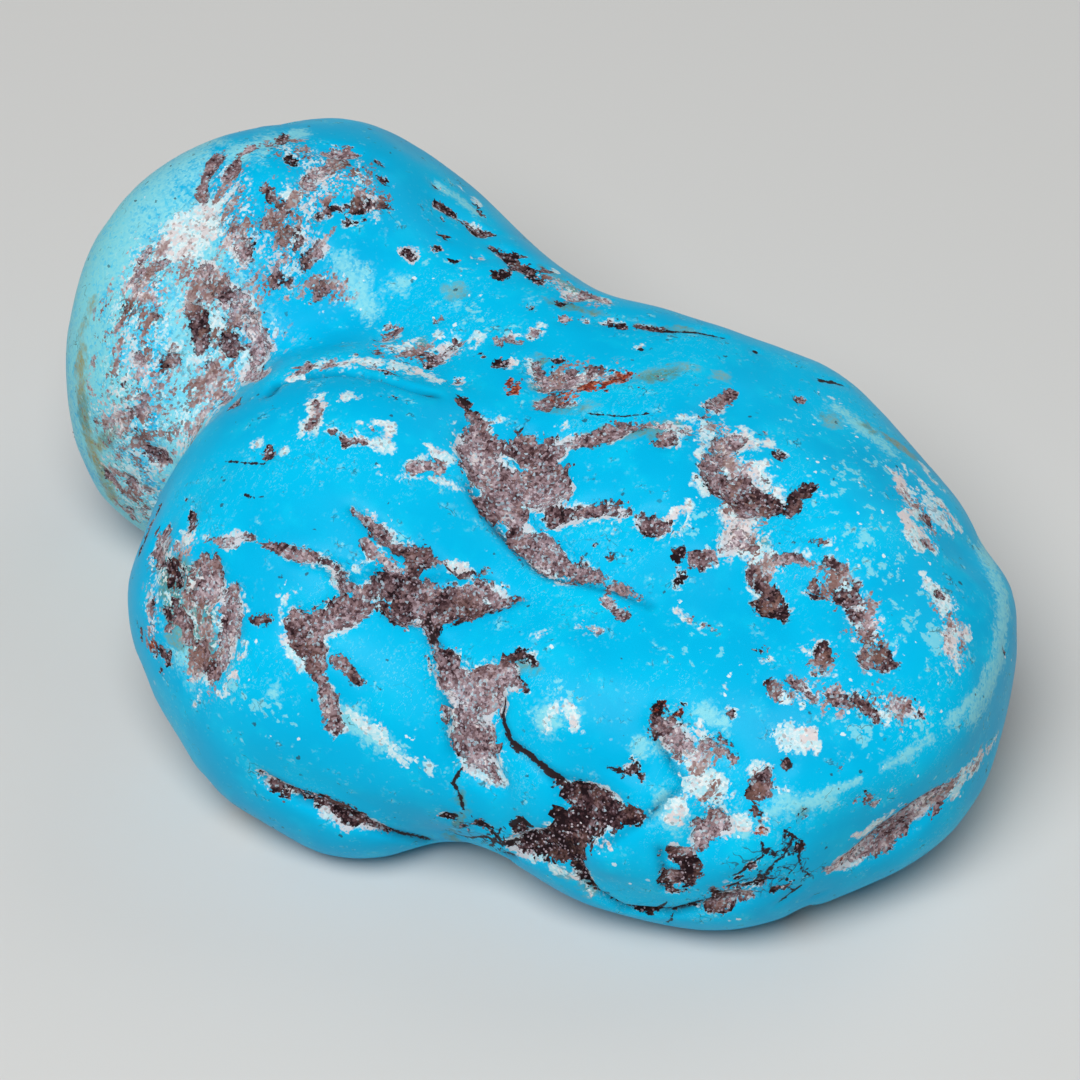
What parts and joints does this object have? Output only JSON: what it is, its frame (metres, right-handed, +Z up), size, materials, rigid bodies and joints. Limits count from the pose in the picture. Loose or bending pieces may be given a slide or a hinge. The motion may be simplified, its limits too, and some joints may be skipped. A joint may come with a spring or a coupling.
{
  "type": "raw turquoise nugget",
  "caption": "Lobed raw turquoise nugget with brown matrix veins, tumbled smooth, lying on a worn flat face; a display stone or lapidary rough.",
  "frame": {"origin": "on the resting face, under the middle of the stone's box", "axes": "+X along the stone's length from the heel to the nose, +Y from the shoulder to the back, +Z up"},
  "size_m": [0.063, 0.0424, 0.0247],
  "materials": {
    "turquoise": "satin polish on the blue stone, rough and grainy on the brown matrix"
  },
  "bodies": {
    "root": {"turquoise_nugget": "turquoise"}
  },
  "joints": []
}
